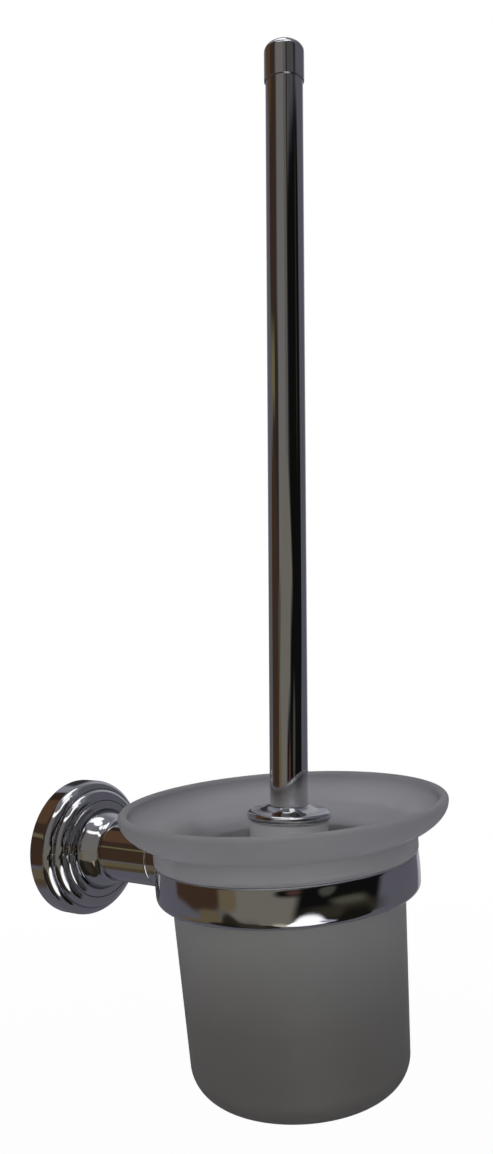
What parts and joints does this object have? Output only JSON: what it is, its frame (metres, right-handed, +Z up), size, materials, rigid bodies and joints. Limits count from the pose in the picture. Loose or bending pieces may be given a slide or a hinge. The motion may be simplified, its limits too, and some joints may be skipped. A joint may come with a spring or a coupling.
{
  "type": "toilet brush holder",
  "caption": "Wall-mounted toilet brush holder: a chromed ring on a stepped rose carries a frosted glass cup with a flared bowl, and a long-handled brush stands in it.",
  "frame": {"origin": "middle of the rose and wall plate on the wall", "axes": "+Z up, the wall is the plane y = 0 and the arm points along -Y, +X to the right as seen from the room"},
  "size_m": [0.1194, 0.1687, 0.3827],
  "materials": {
    "chrome": "bright chrome plate on turned brass",
    "zinc": "plain cast zinc",
    "steel": "zinc plated screws",
    "brass": "turned",
    "frosted_glass": "acid frosted",
    "seat_plastic": "translucent matt moulding",
    "head_plastic": "moulded white plastic",
    "plug_plastic": "moulded black plastic",
    "bristles": "nylon filaments"
  },
  "bodies": {
    "bracket": {"wall_plate": "zinc", "rose": "chrome", "rose_grub_screw": "steel", "arm": "chrome", "arm_screw": "steel", "arm_washer": "steel", "ring": "chrome", "ring_stud": "steel", "seat_ring": "seat_plastic"},
    "cup": {"cup": "frosted_glass"},
    "brush": {"handle_tube": "chrome", "handle_cap": "chrome", "cap_plug": "plug_plastic", "tube_insert": "brass", "collar": "chrome", "brush_stud": "steel", "head_body": "head_plastic", "side_tufts": "bristles", "end_tufts": "bristles"}
  },
  "joints": [
    {"name": "cup_lift", "type": "slide", "parent": "bracket", "child": "cup", "axis": [0, 0, 1], "range_m": [0, 0.1]},
    {"name": "brush_lift", "type": "slide", "parent": "cup", "child": "brush", "axis": [0.0525, -0.0418, 0.9977], "range_m": [0, 0.12]}
  ]
}
